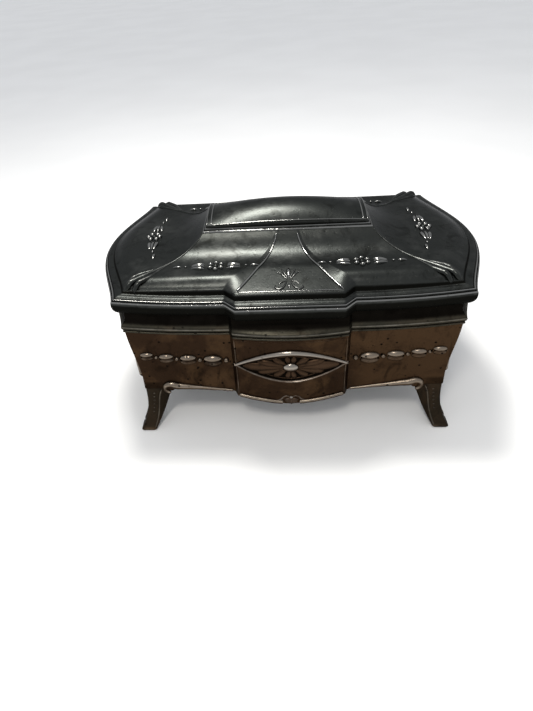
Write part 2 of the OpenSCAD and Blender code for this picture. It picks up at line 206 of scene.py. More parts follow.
class Shape:
    """Vertices, faces and a value of wear and painted light per vertex, gathered before they become one mesh.

    The value is 1 where polish reaches and where crests are painted with a highlight, 0 on plain faces and -1
    in grooves and under overhangs, which are painted in shade.
    """

    def __init__(self):
        self.verts = np.zeros((0, 3))
        self.wear_and_light = np.zeros(0)
        self.faces = []

    def add(self, verts, faces, wear_and_light):
        base = len(self.verts)
        self.verts = np.vstack([self.verts, verts])
        self.wear_and_light = np.append(self.wear_and_light, np.broadcast_to(wear_and_light, len(verts)))
        self.faces += [tuple(base + i for i in f) for f in faces]

    def skin(self, rows, wear_and_light=0.0, closed=False, flip=False):
        """A skin through rows of points, each with as many points as the last."""
        rows = np.asarray(rows)
        m, n = rows.shape[:2]
        faces = []
        for j in range(m - 1):
            for i in range(n if closed else n - 1):
                k = (i + 1) % n
                quad = (j * n + i, j * n + k, (j + 1) * n + k, (j + 1) * n + i)
                faces.append(quad[::-1] if flip else quad)
        polish_and_light = np.broadcast_to(np.asarray(wear_and_light, float).reshape(-1, 1) if np.ndim(wear_and_light) == 1 else wear_and_light, (m, n))
        self.add(rows.reshape(-1, 3), faces, polish_and_light.reshape(-1))

    def cap(self, row, wear_and_light=0.0, flip=False):
        """A fan over a closed row, from its middle."""
        n = len(row)
        faces = [(i, (i + 1) % n, n) for i in range(n)]
        self.add(np.vstack([row, row.mean(axis=0)]), [f[::-1] if flip else f for f in faces], wear_and_light)

    def plate(self, outer, inner, wear_and_light=0.0):
        """A closed plate between an outer grid of points and an inner one."""
        outer, inner = np.asarray(outer), np.asarray(inner)
        self.skin(outer, wear_and_light)
        self.skin(inner, 0.0, flip=True)
        for a, b in ((inner[0], outer[0]), (outer[-1], inner[-1]), (outer[:, 0], inner[:, 0]),
                     (inner[:, -1], outer[:, -1])):
            self.skin(np.stack([a, b]), 0.0)

    def copy(self, scale):
        """The same shape multiplied by scale, which may turn or mirror it."""
        mirrored = np.prod(scale) < 0
        made = Shape()
        made.add(self.verts * scale, [f[::-1] if mirrored else f for f in self.faces], self.wear_and_light)
        return made

    def repeat_turned(self, start):
        """Repeats everything added since the mark start, turned half way round the middle."""
        first_vert, first_face = start
        verts = self.verts[first_vert:] * TURN
        faces = [tuple(i - first_vert for i in f) for f in self.faces[first_face:]]
        self.add(verts, faces, self.wear_and_light[first_vert:])

    def mark(self):
        return len(self.verts), len(self.faces)

    def build(self, name, node, material, body, slot, sharp=38):
        """The mesh object, smooth but for its sharp edges, in place of a CAD node and riding on its body."""
        mesh = new_mesh(name, self.verts.tolist(), self.faces)
        mesh.validate()
        mesh.update()
        # Per-vertex wear and painted light: painted highlight on crests, painted shade under overhangs.
        polish_and_light = mesh.attributes.new("wear_and_light", "FLOAT", "POINT")
        polish_and_light.data.foreach_set("value", self.wear_and_light[: len(mesh.vertices)].astype(np.float32))
        mesh.materials.append(material)
        mesh.shade_smooth()
        mesh.set_sharp_from_angle(angle=math.radians(sharp))
        obj = placed(name, mesh)
        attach(obj, body)
        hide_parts(node)
        return obj

    def build_pair(self, nodes, ending, material, slot, sharp=38):
        """Two pieces of the base, the second of them turned half way round."""
        twins = zip(nodes, (self, self.copy(TURN)))
        return [shape.build(node + ending, node, material, "base", slot, sharp) for node, shape in twins]


def unit(v):
    return v / np.maximum(np.linalg.norm(v, axis=-1, keepdims=True), 1e-12)


def distances(points):
    """Distance along a polyline to each of its points."""
    return np.append(0, np.cumsum(np.linalg.norm(np.diff(points, axis=0), axis=1)))


def resampled(points, n):
    """n points spread evenly along a polyline, joined by a smooth curve through its points."""
    points = np.asarray(points, float)
    way = distances(points)
    t = np.linspace(0, way[-1], n)
    slopes = np.gradient(points, way, axis=0)
    k = np.clip(np.searchsorted(way, t, side="right") - 1, 0, len(way) - 2)
    h = (way[k + 1] - way[k])[:, None]
    s = ((t - way[k]) / h[:, 0])[:, None]
    return (
        points[k] * (1 + 2 * s) * (1 - s) ** 2
        + slopes[k] * h * s * (1 - s) ** 2
        + points[k + 1] * s**2 * (3 - 2 * s)
        + slopes[k + 1] * h * s**2 * (s - 1)
    )


# Tilt towards which relief is painted lighter, as if lit from above.
SKYWARD = np.array([0.0, 0.0, 0.8])


def relief_polish_and_light(outward, up, polish_and_light):
    """Polish and painted light of relief: a painted highlight where it faces out and up, painted shade
    underneath and at its foot, no brighter than the polish given.
    """
    facing = np.sum(outward * unit(up + SKYWARD), axis=-1)
    return np.clip(1.6 * facing - 0.55, -0.6, polish_and_light)


class Face:
    """A place to lay relief: maps flat (a, b) to the surface, with its normal."""

    def __init__(self, point):
        self.point = point

    def frame(self, a, b, step=0.05 * MM):
        p = self.point(a, b)
        along = unit(self.point(a + step, b) - p)
        up = unit(np.cross(along, self.point(a, b + step) - p))
        return p, along, np.cross(up, along), up

    def bead(self, shape, a, b, size, angle=0.0, point=0.5, fat=0.0, sink=0.25, polish_and_light=1.0):
        """A rounded bead, its length, width and height in millimetres. point 0.5 is an oval and 1 a
        pointed husk; fat moves its girth to one end."""
        length, width, height = np.multiply(size, MM)
        centre, along, across, up = self.frame(a, b)
        c, s = math.cos(angle), math.sin(angle)
        along, across = along * c + across * s, across * c - along * s
        rings, sides = 10, 12
        t = -np.cos(np.pi * np.linspace(0, 1, rings + 1))
        girth = np.clip(1 - t**2, 0, 1) ** point * (1 + fat * t)
        turn = 2 * np.pi * np.arange(sides) / sides
        rows = [
            centre
            + along * x * length / 2
            + np.outer(np.cos(turn) * g * width / 2, across)
            + np.outer(np.sin(turn) * g * height - sink * height, up)
            for x, g in zip(t, girth)
        ]
        outward = np.outer(np.cos(turn), across) + np.outer(np.sin(turn), up)
        wear_and_light = np.tile(relief_polish_and_light(outward, up, polish_and_light), (rings + 1, 1))
        shape.skin(rows, wear_and_light, closed=True)

    def rib(self, shape, path, radius, height=None, sink=0.2, polish_and_light=1.0, n=None, taper=(1, 1)):
        """A raised rib of half-round section along a flat path, tapered towards its ends."""
        path = np.asarray(path, float)
        n = n or max(8, 5 * len(path))
        path = resampled(path, n)
        frames = [self.frame(a, b) for a, b in path]
        sweep(shape, np.array([f[0] for f in frames]), np.array([f[3] for f in frames]), radius,
              height, sink, polish_and_light, taper)


def sweep(shape, points, ups, radius, height=None, sink=0.2, polish_and_light=1.0, taper=(1, 1)):
    """A half-round moulding along points in space, standing up along ups."""
    n = len(points)
    sides = 10
    t = np.linspace(0, 1, n)
    size = np.interp(t, [0, 0.5, 1], [taper[0], 1, taper[1]])
    ends = np.sqrt(np.clip(1 - np.clip(1 - np.minimum(t, 1 - t) * n / 2.5, 0, 1) ** 2, 0, 1))
    size = np.maximum(size * ends, 0.02)
    radius = np.broadcast_to(radius, n) * size
    height = radius if height is None else np.broadcast_to(height, n) * size
    run = unit(np.gradient(points, axis=0))
    side = unit(np.cross(run, ups))
    turn = 2 * np.pi * np.arange(sides) / sides
    rows = (
        points[:, None]
        + side[:, None] * (radius[:, None] * np.cos(turn))[..., None]
        + ups[:, None] * (height[:, None] * (np.sin(turn) - sink))[..., None]
    )
    outward = side[:, None] * np.cos(turn)[:, None] + ups[:, None] * np.sin(turn)[:, None]
    wear_and_light = relief_polish_and_light(outward, ups[:, None], polish_and_light)
    shape.skin(rows, wear_and_light, closed=True, flip=True)


# ---------------------------------------------------------------- procedural materials
class Graph:
    """A material's nodes, with short calls for the few kinds that the castings need."""

    def __init__(self, name):
        self.material = bpy.data.materials.new(name)
        self.material.use_nodes = True
        self.tree = self.material.node_tree
        self.tree.nodes.clear()
        self.output = self.tree.nodes.new("ShaderNodeOutputMaterial")
        self.place = self.node("ShaderNodeTexCoord").outputs["Object"]

    def node(self, kind, links=(), **values):
        made = self.tree.nodes.new(kind)
        for key, value in values.items():
            setattr(made, key, value)
        for socket, source in dict(links).items():
            self.feed(made.inputs[socket], source)
        return made

    def feed(self, socket, source):
        if isinstance(source, bpy.types.NodeSocket):
            self.tree.links.new(source, socket)
        elif hasattr(socket.default_value, "__len__") and len(socket.default_value) == 4:
            socket.default_value = (*source, 1.0)[:4]
        else:
            socket.default_value = source

    def noise(self, scale, detail=4.0, rough=0.55, stretch=(1, 1, 1), warp=0.0):
        at = self.node("ShaderNodeMapping", {"Vector": self.place, "Scale": stretch}).outputs[0]
        made = self.node("ShaderNodeTexNoise", {
            "Vector": at, "Scale": scale, "Detail": detail, "Roughness": rough, "Distortion": warp})
        return made.outputs[0]

    def spots(self, scale):
        made = self.node("ShaderNodeTexVoronoi", {"Vector": self.place, "Scale": scale, "Randomness": 1.0})
        return made.outputs["Distance"]

    def step(self, value, low, high, to_low=0.0, to_high=1.0):
        made = self.node("ShaderNodeMapRange", {
            "Value": value, "From Min": low, "From Max": high, "To Min": to_low, "To Max": to_high},
            interpolation_type="SMOOTHSTEP")
        return made.outputs[0]

    def sum(self, operation, a, b):
        made = self.node("ShaderNodeMath", operation=operation)
        self.feed(made.inputs[0], a)
        self.feed(made.inputs[1], b)
        return made.outputs[0]

    def blend(self, share, a, b):
        made = self.node("ShaderNodeMix", data_type="RGBA")
        self.feed(made.inputs["Factor"], share)
        self.feed(made.inputs[6], a)
        self.feed(made.inputs[7], b)
        return made.outputs[2]

    def wear_and_light(self):
        return self.node("ShaderNodeAttribute", attribute_name="wear_and_light").outputs["Fac"]

    def bump(self, height, distance, strength=1.0, under=None):
        links = {"Height": height, "Distance": distance, "Strength": strength}
        if under is not None:
            links["Normal"] = under
        return self.node("ShaderNodeBump", links).outputs[0]

    def finish(self, **sockets):
        shader = self.node("ShaderNodeBsdfPrincipled")
        for key, value in sockets.items():
            self.feed(shader.inputs[key.replace("_", " ")], value)
        self.tree.links.new(shader.outputs[0], self.output.inputs[0])
        return self.material


def cast_metal(name, field, patch, polish_and_highlight, grime_and_shade, patch_reach=0.5, gloss=0.3, patch_gloss=0.45, pits=1.0,
               rubbed=0.0):
    """Cast metal with patchy plating: field is the plate, patch the metal under it, bright the polished
    crests with their painted highlight, and grime the dirt in the grooves, also used as painted shade in
    grooves and under overhangs."""
    g = Graph(name)
    wear_and_light = g.wear_and_light()
    cloud = g.noise(38, 6.0, 0.62, warp=0.6)
    mottle = g.noise(150, 5.0, 0.65)
    grain = g.noise(900, 3.0, 0.6)
    holes = g.step(g.spots(210), 0.05, 0.2)
    fine_holes = g.step(g.spots(620), 0.03, 0.16)
    patchy = g.sum("ADD", cloud, g.sum("MULTIPLY", mottle, 0.35))
    bare = g.step(patchy, 0.72 - 0.25 * patch_reach, 0.97 - 0.25 * patch_reach)
    if rubbed:
        x = g.node("ShaderNodeSeparateXYZ", {"Vector": g.place}).outputs["X"]
        share = g.sum("MULTIPLY", g.step(x, 0.03, 0.045, 0, rubbed), g.step(cloud, 0.3, 0.5))
        bare = g.sum("MAXIMUM", bare, share)
    # Crests: real polish plus a painted highlight where relief faces up.
    crest_polish_and_highlight = g.step(g.sum("ADD", wear_and_light, g.sum("MULTIPLY", mottle, 0.5)), 0.62, 1.2)
    # Grooves: real grime plus painted shade in hollows and under overhangs.
    groove_grime_and_shade = g.step(g.sum("SUBTRACT", g.sum("MULTIPLY", mottle, 0.4), wear_and_light), 0.35, 1.0)
    stain = g.step(g.noise(90, 5.0, 0.7, (1, 1, 0.6), 1.2), 0.5, 0.7)
    colour = g.blend(bare, field, patch)
    colour = g.blend(g.sum("MULTIPLY", stain, 0.55), colour, grime_and_shade)
    colour = g.blend(crest_polish_and_highlight, colour, polish_and_highlight)
    colour = g.blend(groove_grime_and_shade, colour, grime_and_shade)
    pit = g.sum("MINIMUM", holes, fine_holes)
    colour = g.blend(g.sum("MULTIPLY", g.sum("SUBTRACT", 1.0, pit), 0.8 * pits), colour, grime_and_shade)
    rough = g.sum("ADD", g.step(bare, 0, 1, gloss, patch_gloss), g.sum("MULTIPLY", mottle, 0.14))
    rough = g.sum("SUBTRACT", rough, g.sum("MULTIPLY", crest_polish_and_highlight, 0.18))
    rough = g.sum("ADD", rough, g.sum("MULTIPLY", groove_grime_and_shade, 0.25))
    relief = g.bump(grain, 0.00006, 0.45)
    relief = g.bump(mottle, 0.00025, 0.3, relief)
    relief = g.bump(pit, 0.00012 * pits + 0.00001, 0.6, relief)
    return g.finish(Base_Color=colour, Metallic=1.0, Roughness=rough, Specular_Tint=(0.55, 0.55, 0.55),
                    Normal=relief)


def satin(name, colour, shade):
    """Satin cloth: fine threads one way, a soft sheen and slight pulls."""
    g = Graph(name)
    threads = g.noise(2600, 2.0, 0.5, (1, 0.12, 1))
    pulls = g.noise(160, 3.0, 0.5, (1, 0.3, 1))
    fade = g.noise(25, 4.0, 0.6)
    tone = g.blend(g.step(g.sum("ADD", fade, g.sum("MULTIPLY", threads, 0.2)), 0.45, 0.75), colour, shade)
    relief = g.bump(threads, 0.00005, 0.5)
    relief = g.bump(pulls, 0.0004, 0.35, relief)
    return g.finish(Base_Color=tone, Roughness=g.step(threads, 0.2, 0.8, 0.42, 0.6), Sheen_Weight=0.1,
                    Specular_IOR_Level=0.25, Sheen_Roughness=0.35, Anisotropic=0.5, Normal=relief)


def plain_metal(name, colour, dull, rough):
    """Sheet or turned metal that has dulled."""
    g = Graph(name)
    cloud = g.noise(120, 5.0, 0.6)
    scratch = g.noise(1500, 2.0, 0.5, (1, 0.05, 1))
    tone = g.blend(g.step(cloud, 0.4, 0.7), colour, dull)
    surface = g.step(g.sum("ADD", cloud, g.sum("MULTIPLY", scratch, 0.3)), 0.4, 0.9, rough, rough + 0.2)
    return g.finish(Base_Color=tone, Metallic=1.0, Roughness=surface, Normal=g.bump(scratch, 0.00004, 0.5))


def card(name):
    g = Graph(name)
    fibre = g.noise(1400, 4.0, 0.6)
    tone = g.blend(g.step(fibre, 0.35, 0.7), (0.42, 0.36, 0.25), (0.52, 0.46, 0.34))
    return g.finish(Base_Color=tone, Roughness=0.9, Normal=g.bump(fibre, 0.00005, 0.6))


def floor_paper():
    g = Graph("floor")
    tone = g.blend(g.step(g.noise(6, 2.0, 0.5), 0.3, 0.7), (0.83, 0.83, 0.82), (0.86, 0.86, 0.85))
    return g.finish(Base_Color=tone, Roughness=0.85)


# In these metals the crest colour also paints highlights and the groove colour also paints shade.
LID_METAL = cast_metal("lid_silver", field=(0.030, 0.032, 0.030), patch=(0.045, 0.047, 0.044),
                       polish_and_highlight=(0.2, 0.2, 0.19), grime_and_shade=(0.006, 0.006, 0.005), patch_reach=0.3, gloss=0.22,
                       patch_gloss=0.28, pits=0.3)
BODY_METAL = cast_metal("body_copper", field=(0.024, 0.0135, 0.0078), patch=(0.058, 0.033, 0.017),
                        polish_and_highlight=(0.2, 0.165, 0.13), grime_and_shade=(0.004, 0.0026, 0.0018),
                        patch_reach=0.45, gloss=0.34, patch_gloss=0.44, pits=1.5, rubbed=0.8)
NECK_METAL = cast_metal("neck_silver", field=(0.03, 0.028, 0.021), patch=(0.045, 0.038, 0.027),
                        polish_and_highlight=(0.2, 0.185, 0.16), grime_and_shade=(0.006, 0.005, 0.004), patch_reach=0.4, gloss=0.3)
LEG_METAL = cast_metal("leg_dark", field=(0.024, 0.018, 0.012), patch=(0.042, 0.028, 0.017),
                       polish_and_highlight=(0.12, 0.105, 0.085), grime_and_shade=(0.006, 0.005, 0.004), patch_reach=0.4, gloss=0.34)
ORNAMENT_METAL = cast_metal("ornament_silver", field=(0.042, 0.025, 0.015), patch=(0.06, 0.036, 0.022),
                            polish_and_highlight=(0.26, 0.235, 0.205), grime_and_shade=(0.005, 0.0035, 0.0025), patch_reach=0.4,
                            gloss=0.3, pits=0.5)
SATIN = satin("wine_satin", (0.1, 0.008, 0.017), (0.17, 0.018, 0.032))
HINGE_METAL = plain_metal("hinge_brass", (0.3, 0.22, 0.11), (0.12, 0.09, 0.05), 0.35)
PIN_METAL = plain_metal("pin_steel", (0.42, 0.4, 0.37), (0.2, 0.18, 0.16), 0.3)
SHEET_METAL = plain_metal("floor_sheet", (0.26, 0.25, 0.23), (0.12, 0.11, 0.1), 0.45)
CARD = card("lining_card")


# ---------------------------------------------------------------- the lid
# Section of the rim from the seat outwards and up to the panels: inset, height over the rim bead, and wear
# with painted light, -1 painting shade under the rim's skirt
RIM_SECTION = [
    (7.4, -1.4, 0), (7.4, -7.7, 0), (7.1, -8, 0), (3.8, -8, -0.8), (2.9, -7.85, -1), (2.0, -7.3, -1),
    (1.3, -6.5, -1), (0.7, -5.5, -1), (0.3, -4.5, -1), (0.1, -3.5, -0.9), (0, -2.6, -0.8), (0, -1.7, -0.6),
    (0.03, -0.9, 0), (0.12, -0.4, 0.8), (0.3, 0, 1), (0.6, 0.15, 0.9), (0.85, 0.05, -0.6), (0.95, -0.05, -1),
    (1.05, 0.4, -0.8), (1.1, 0.9, 0), (1.3, 1.3, 1), (1.6, 1.45, 0.9), (1.85, 1.35, -0.4), (2.0, 1.3, -0.8),
    (2.2, 1.6, -0.2), (2.6, 2.1, 0.4), (3.2, 2.35, 0.3), (4.2, 2.5, 0.2), (4.9, 2.6, 0.1), (5.2, 2.7, -0.5),
    (5.45, 3.1, -1), (5.6, 3.8, -1), (5.8, 4.7, -0.8), (6.2, 5.6, -0.3), (6.6, 6.05, 0)]

SHOULDER = 10.2 * MM
EDGE_RISE = 6.2 * MM
PANEL_SWEPT = 0.3  # share of the rim's corner sweep left at the panels' edge


def panel_z(u, q, lift):
    """Height of the lid's panels from their edge (u 0) to the plaque (u 1), at station q."""
    shoulder = 1 - (1 - np.clip(u / 0.2, 0, 1)) ** 2
    ramp = np.clip(u / 0.45, 0, 1)
    middle = np.clip(np.minimum(q, 5 - q) - 1, 0, 1)
    share = shoulder + (ramp - shoulder) * middle
    sweep_up = (PLAQUE_Z - RIM_Z - SHOULDER - 0.3 * MM) * np.clip((u - 0.42) / 0.58, 0, 1) ** 2.6
    edge = EDGE_RISE + PANEL_SWEPT * lift
    return RIM_Z + edge + (SHOULDER - edge) * share + 0.3 * MM * u + sweep_up


def panel_front(u, q=FRONT_Q):
    """Points across the front panels at share u, for stations q."""
    low = front_x(PANEL_IN, LID_PLAN, q)
    high = stations_x(PLAQUE_X, FLARE + 1.5 * MM, FLARE, q)
    power = 1 + 0.3 * np.clip(np.minimum(q, 5 - q), 0, 1)
    x = low + (high - low) * (1 - (1 - u) ** power)
    y0 = front_y(low, PANEL_IN, LID_PLAN)
    return np.column_stack([x, y0 + (-PLAQUE_Y - y0) * u, panel_z(u, q, rise(low))])


def panel_end(u):
    y = END_S * (HALF_D - PANEL_IN)
    x = end_x(y, PANEL_IN)
    z = panel_z(u, 0 * y, rise(HALF_W - PANEL_IN))
    return np.column_stack([x + (PLAQUE_X - x) * u, y + (END_S * PLAQUE_Y - y) * u, z])


def panel_row(u):
    return softened(full_row(panel_front(u), panel_end(u)), 1)


def dome_z(x, y):
    a = (x / PLAQUE_X) ** 2
    b = (y / (PLAQUE_Y - 1.7 * MM)) ** 2
    return PLAQUE_Z + CROWN * (0.29 + 0.1 * (1 - a) + (0.61 - 0.43 * a) * np.maximum(0, 1 - b))


def plaque_row(margin, z=None):
    """Row round the plaque, set in by a margin; with no z it lies on the dome."""
    row = full_row(panel_front(1.0), panel_end(1.0))
    row[:, 0] *= 1 - margin / PLAQUE_X
    row[:, 1] *= 1 - margin / PLAQUE_Y
    row[:, 2] = dome_z(row[:, 0], row[:, 1]) if z is None else z
    return row


# Mouldings round the plaque: margin, height over the panels' top, and wear with painted light, -1 painting
# shade in the narrow dip
PLAQUE_SECTION = [
    (0.02, 0.45, 0.8), (0.2, 0.95, 1), (0.6, 1.1, 1), (0.95, 0.7, 0.2), (1.1, 0.3, -1), (1.15, 0.9, -0.8),
    (1.15, 1.7, 0.4), (1.35, 2.2, 1), (1.7, 2.3, 0.9), (1.95, 2.0, 0), (2.1, 1.6, -1)]
DOME_MARGIN = 2.3 * MM


def lid_skin(shape):
    rows, wear_and_light = [], []
    for inset, height, polish_and_light in RIM_SECTION:
        plan = INNER_PLAN if inset > PANEL_IN / MM else LID_PLAN
        swept = np.interp(height, [2.7, 6.1], [1, PANEL_SWEPT])
        rows.append(outline(inset * MM, RIM_Z + height * MM, plan, swept))
        wear_and_light.append(polish_and_light)
    for u in np.concatenate([np.linspace(0, 0.2, 9), np.linspace(0.26, 0.42, 4), np.linspace(0.46, 1, 20)]):
        rows.append(panel_row(u))
        wear_and_light.append(0.45 * float(np.interp(u, [0, 0.03, 0.12, 0.3], [0.2, 1, 0.6, 0])))
    for margin, height, polish_and_light in PLAQUE_SECTION:
        rows.append(plaque_row(margin * MM, PLAQUE_Z + height * MM))
        wear_and_light.append(polish_and_light)
    rows.append(plaque_row(DOME_MARGIN))
    wear_and_light.append(0.2)
    shape.skin(rows, np.array(wear_and_light), closed=True)


def lid_dome(shape):
    """The plaque's crowned face, and the edge moulding round it."""
    x = np.linspace(-1, 1, 61) * (PLAQUE_X - DOME_MARGIN)
    y = np.linspace(-1, 1, 25) * (PLAQUE_Y - DOME_MARGIN)
    rows = [np.column_stack([x, np.full_like(x, v), dome_z(x, v)]) for v in y]
    shape.skin(rows, 0.1)
    face = Face(lambda a, b: np.array([a, b, dome_z(a, b)]))
    inner_x, inner_y = PLAQUE_X - DOME_MARGIN - 0.2 * MM, PLAQUE_Y - DOME_MARGIN - 0.1 * MM
    for s in (-1, 1):
        face.rib(shape, [(x * inner_x, s * inner_y) for x in np.linspace(-1, 1, 13)], 0.45 * MM, polish_and_light=0.9)
        for place, polish_and_light in ((inner_x - 2.4 * MM, 1.0), (inner_x, 0.8)):
            face.rib(shape, [(s * place, y * inner_y) for y in np.linspace(-1, 1, 9)], 0.5 * MM, polish_and_light=polish_and_light)


def garland(shape, face, scale=1.0, bow=0.0):
    """Drop, bead, three-lobed husk, six-bead flower, husk, bead, drop; bow bends the row."""
    def at(a):
        return a * MM * scale, bow * (a / 20) ** 2

    for s in (-1, 1):
        face.bead(shape, *at(20.8 * s), (5.2 * scale, 2.1, 1.2), point=0.7, fat=-0.3 * s)
        face.bead(shape, *at(16.2 * s), (1.8, 1.6, 1.0))
        a, b = at(9.6 * s)
        for lobe in (-1, 0, 1):
            size = (7.8 * scale, 2.7, 1.4) if lobe else (7.8 * scale, 2.2, 1.9)
            face.bead(shape, a, b + lobe * 1.8 * MM, size, angle=-lobe * s * 0.14, point=0.6, fat=-0.25 * s)
    for k in range(6):
        turn = math.pi / 3 * (k + 0.5)
        face.bead(shape, 3.3 * MM * math.cos(turn), 3.3 * MM * math.sin(turn), (3.1, 3.1, 1.8))
    face.bead(shape, 0, 0, (2.6, 2.6, 1.5), polish_and_light=0.3)


def palmette(shape, face):
    """Three petals over a pair of scrolls."""
    face.bead(shape, 0, 4.2 * MM, (8.4, 2.4, 1.2), math.pi / 2, point=0.8, fat=0.2)
    face.bead(shape, 0, -5.2 * MM, (4.2, 1.7, 1.1), math.pi / 2, point=0.7)
    for s in (-1, 1):
        petal = [(0.8, -0.6), (2.3, 1.4), (3.8, 3.6), (5.3, 4.6), (6.2, 3.8)]
        inner = [(0.6, 0.6), (1.9, 3.4), (3.2, 5.6), (3.6, 7.0)]
        scroll = [(1.1, -1.8), (1.9, -4.2), (3.2, -6.4), (5.2, -7.4), (6.8, -6.4), (6.8, -4.6)]
        curl = [(1.3, -1.6), (3.0, -2.2), (4.6, -3.2), (4.9, -4.6)]
        for path, radius in ((petal, 0.75), (inner, 0.6), (scroll, 0.8), (curl, 0.6)):
            face.rib(shape, [(s * a * MM, b * MM) for a, b in path], radius * MM, polish_and_light=0.6, taper=(0.5, 0.6))


def panel_ribs(shape, q, radius):
    """The raised line down one side of the flared middle panel."""
    points = np.array([panel_front(u, np.array([q]))[0] for u in np.linspace(0.985, 0.02, 40)])
    sweep(shape, points, np.tile((0, -0.25, 0.97), (40, 1)), radius, sink=0.1, taper=(0.8, 1.2))


# The three rolls at a corner: distance aside in millimetres, shares of the way from the plaque at which
# each starts and ends, and its radius at the foot
RIB_LANES = [(0, 0.0, 1.0, 1.9), (-3.4, 0.45, 0.94, 1.6), (3.0, 0.5, 0.93, 1.3)]
RIB_DROP = 5.5 * MM  # length over which a rib turns down to the ledge at its foot
RIB_FOOT = 2.4 * MM
RIB_FOOT_IN = 6.4 * MM


def corner_ribs(shape, s):
    """The rolls from a plaque corner to a rim corner: one all the way, two that join it on the shoulder."""
    top = np.array([s * PLAQUE_X, -PLAQUE_Y])
    foot = np.array([s * (HALF_W - RIB_FOOT_IN), -(HALF_D - RIB_FOOT_IN)])
    length = float(np.linalg.norm(foot - top))
    run = (foot - top) / length
    across = s * np.array([-run[1], run[0]])
    for lane, start, end, big in RIB_LANES:
        t = np.linspace(start, end, 60)
        aside = lane * MM * np.clip((t - start) / 0.28, 0, 1) ** 1.2
        plan = top + np.outer(t, foot - top) + np.outer(aside, across)
        z = panel_z(np.maximum(1 - t, 0.2), 0.0, 0.0) - RIM_Z
        drop = np.clip(1 - (end - t) * length / RIB_DROP, 0, 1)
        z = RIB_FOOT + (z - RIB_FOOT) * np.sqrt(np.maximum(0, 1 - drop**2))
        radius = np.interp(t, [start, 0.45, 0.75, 1], [0.5, 0.85 if not lane else 0.6, big, big]) * MM
        points = np.column_stack([plan, RIM_Z + z])
        ups = np.array([(*(run * 0.9 * d), 1.0) for d in 0.3 + drop])
        sweep(shape, points, unit(ups), radius, sink=0.45, polish_and_light=0.5, taper=(0.7, 1))


# Places of the lid's ornaments: the front garlands and palmettes, and the garlands on the ends
GARLAND_X = 38.4 * MM
GARLAND_Y = 37.3 * MM
PALMETTE_Y = 49 * MM
END_GARLAND_X = 78.4 * MM
END_GARLAND_SCALE = 1.16
END_GARLAND_BOW = 3.6 * MM


def lid():
    shape = Shape()
    lid_skin(shape)
    lid_dome(shape)
    start = shape.mark()
    flat = RIM_Z + SHOULDER + 0.14 * MM
    for s in (-1, 1):
        garland(shape, Face(lambda a, b: np.array([s * GARLAND_X + a, -GARLAND_Y + b, flat])))
        panel_ribs(shape, 2.5 + 0.5 * s, 0.75 * MM)
        corner_ribs(shape, s)
    middle_y = front_y(0, PANEL_IN, LID_PLAN)

    def pediment(a, b):
        u = np.clip((b - middle_y) / (-PLAQUE_Y - middle_y), 0, 1)
        return np.array([a, b, float(panel_z(u, 2.5, 0.0))])

    palmette(shape, Face(lambda a, b: pediment(a, -PALMETTE_Y + b)))
    edge = LID_PLAN.inner - 1.2 * MM
    Face(pediment).rib(shape, [(a * edge, middle_y + 0.6 * MM) for a in np.linspace(-1, 1, 15)], 0.55 * MM)
    on_end = Face(lambda a, b: np.array([END_GARLAND_X - b, a, flat]))
    garland(shape, on_end, END_GARLAND_SCALE, END_GARLAND_BOW)
    shape.repeat_turned(start)
    shape.build("lid_casting", "lid_shell", LID_METAL, "lid", "lid_casting")


# ---------------------------------------------------------------- the body
def wall_inset(z):
    """Inset of the walls at a height: full under the ledge and drawn in to the waist."""
    t = np.clip((LEDGE_Z - z) / (LEDGE_Z - WAIST_Z), 0, 1)
    ease = t + ((1 - np.cos(np.pi * t)) / 2 - t) * 0.6
    return WALL_IN + (WAIST_IN - WALL_IN) * ease


def apron_z(x):
    """Height of the walls' lower edge along the front: lowest in the middle, arched beside the legs."""
    a = np.abs(x)
    middle = APRON_Z + APRON_RISE * np.clip(a / BODY_PLAN.inner, 0, 1) ** 1.5
    arch = HALF_W - 26 * MM
    side = LEG_TOP - ARCH_RISE * np.clip((arch - a) / (arch - BODY_PLAN.inner), 0, 1) ** 1.4
    return np.where(a < BODY_PLAN.inner, middle, side)


def end_apron_z(y):
    return LEG_TOP - END_ARCH_RISE * (1 - np.clip(np.abs(y) / (HALF_D - 20 * MM), 0, 1) ** 1.5)


WALL_SHARES = np.linspace(0, 1, 22)


def front_grid(depth):
    """Rows of points up the front wall, a depth in from its outer face."""
    rows = []
    low = apron_z(front_x(WAIST_IN, BODY_PLAN))
    for t in WALL_SHARES:
        inset = wall_inset(low + (WALL_TOP - low) * t) + depth
        x = np.array([front_x(i, BODY_PLAN, q) for q, i in zip(FRONT_Q, inset)])
        z = apron_z(x)
        z = z + (WALL_TOP - GAP - z) * t
        y = front_y(x, wall_inset(z) + depth, BODY_PLAN)
        rows.append(np.column_stack([x, y, z + t * rise(x)]))
    return rows


def end_grid(depth):
    rows = []
    for t in WALL_SHARES:
        low = end_apron_z(END_S * (HALF_D - WAIST_IN))
        z = low + (WALL_TOP - GAP - low) * t
        inset = wall_inset(z) + depth
        y = END_S * (HALF_D - inset)
        rows.append(np.column_stack([end_x(y, inset), y, z + t * rise(HALF_W - inset)]))
    return rows


def front_face(x, z):
    """Point of the front wall's face at x and height z, both free, for laying relief on it."""
    low = float(apron_z(x))
    t = np.clip((z - low) / (WALL_TOP + rise(x) - low), 0, 1)
    level = z - t * rise(x)
    return np.array([x, front_y(x, wall_inset(level), BODY_PLAN), z])


def end_face(y, z):
    low = float(end_apron_z(y))
    lift = rise(HALF_W - WAIST_IN)
    t = np.clip((z - low) / (WALL_TOP + lift - low), 0, 1)
    inset = wall_inset(z - t * lift)
    return np.array([end_x(y, inset), y, z])


# The chain's parts at their largest: length, width and height in millimetres
OVAL_LOBES = [(11.6, 5.6, 2.8), (11.4, 5.6, 2.8)]
SMALL_BEAD = (3.2, 3.4, 1.9)
BEAD_CLOSING = 0.94  # each pitch as a share of the one before it


